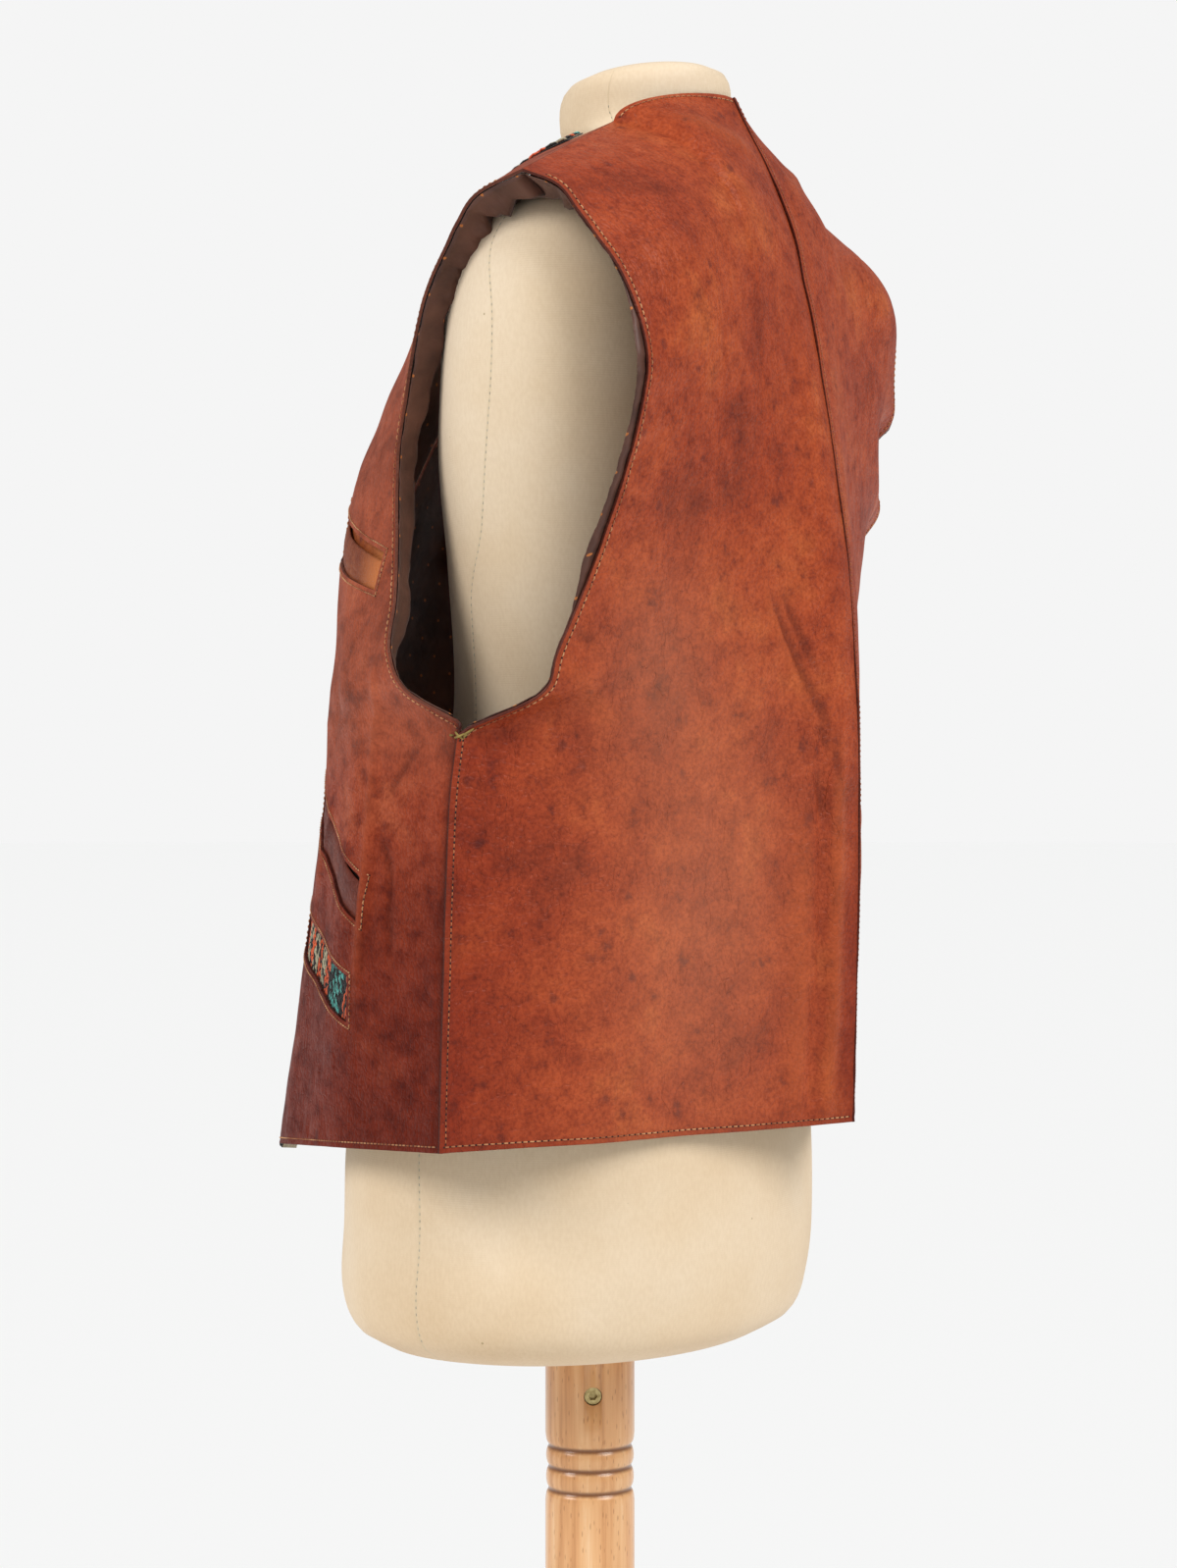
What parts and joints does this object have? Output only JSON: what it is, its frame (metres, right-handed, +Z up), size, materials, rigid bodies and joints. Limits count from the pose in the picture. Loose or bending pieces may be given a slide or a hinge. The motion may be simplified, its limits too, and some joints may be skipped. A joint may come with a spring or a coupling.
{
  "type": "leather vest on a limbless dress form with a wooden stand",
  "caption": "Open tan leather vest with slanted welt pockets and woven wool trim, worn by a cream cloth dress form on a turned wooden column and round foot.",
  "frame": {"origin": "on the column's axis, on the floor under the foot", "axes": "+Z up, the wearer faces -Y, the wearer's left is +X"},
  "size_m": [0.4898, 0.3885, 1.5596],
  "materials": {
    "tan_leather": "hand-stained, soft satin gloss",
    "welt_leather": "lighter tan, satin",
    "kilim_wool": "woven wool pile, matte",
    "brown_satin": "satin weave with small gold dots",
    "cream_canvas": "plain cotton canvas, matte",
    "beech": "satin varnish",
    "brass": "satin"
  },
  "bodies": {
    "root": {"back_left": "tan_leather", "back_right": "tan_leather", "front_left": "tan_leather", "front_right": "tan_leather", "chest_backing_left": "tan_leather", "chest_backing_right": "tan_leather", "waist_backing_left": "tan_leather", "waist_backing_right": "tan_leather", "chest_welt_left": "welt_leather", "chest_welt_right": "welt_leather", "waist_welt_left": "welt_leather", "waist_welt_right": "welt_leather", "kilim_inset_left": "kilim_wool", "kilim_inset_right": "kilim_wool", "kilim_edge_left": "kilim_wool", "kilim_edge_right": "kilim_wool", "armhole_lining_left": "brown_satin", "armhole_lining_right": "brown_satin", "form_body": "cream_canvas", "stand_column": "beech", "stand_base": "beech", "column_screw": "brass"}
  },
  "joints": []
}
